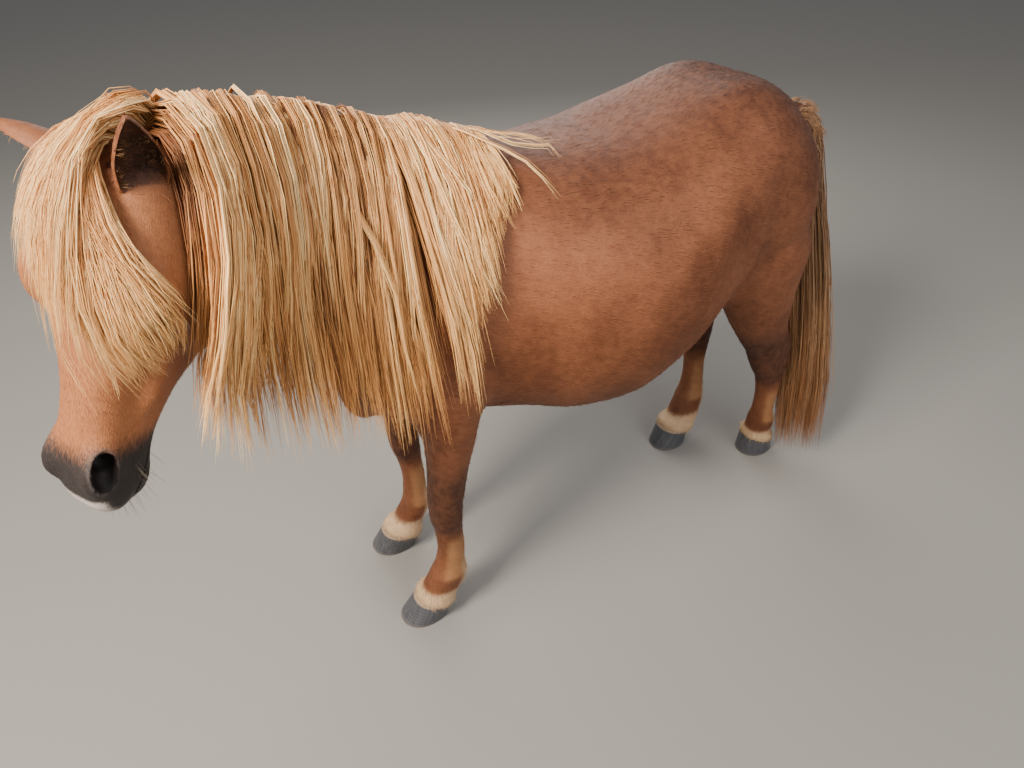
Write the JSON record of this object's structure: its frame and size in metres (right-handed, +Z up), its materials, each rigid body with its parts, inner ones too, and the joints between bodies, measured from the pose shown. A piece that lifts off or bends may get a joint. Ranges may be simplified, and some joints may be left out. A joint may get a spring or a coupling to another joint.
{
  "type": "shetland pony model",
  "caption": "Still, life-size pony standing on its hooves, head low and turned to its left, with a long mane, forelock and tail in locks.",
  "frame": {"origin": "on the floor, under the middle of the whole model's box", "axes": "+X the pony's left side, +Y towards its tail, +Z up"},
  "size_m": [0.5134, 1.545, 1.1563],
  "materials": {
    "coat": "short summer coat over skin, chestnut, softly shining where it lies flat",
    "leg_coat": "short dense leg hair, brown, with a paler fringe behind",
    "long_hair": "long coarse horsehair, flaxen with brown strands",
    "hoof": "slate-grey horn with growth rings and paler streaks, dusty at the edge",
    "eye": "wet dark brown eye, glossy"
  },
  "bodies": {
    "root": {"torso": "coat", "neck": "long_hair", "head": "coat", "tail": "long_hair", "ear_left": "coat", "ear_right": "coat", "eye_left": "eye", "eye_right": "eye", "foreleg_left_upper": "leg_coat", "foreleg_left_lower": "leg_coat", "foreleg_right_upper": "leg_coat", "foreleg_right_lower": "leg_coat", "hindleg_left_upper": "leg_coat", "hindleg_left_lower": "leg_coat", "hindleg_right_upper": "leg_coat", "hindleg_right_lower": "leg_coat", "forehoof_left": "hoof", "forehoof_right": "hoof", "hindhoof_left": "hoof", "hindhoof_right": "hoof"}
  },
  "joints": []
}
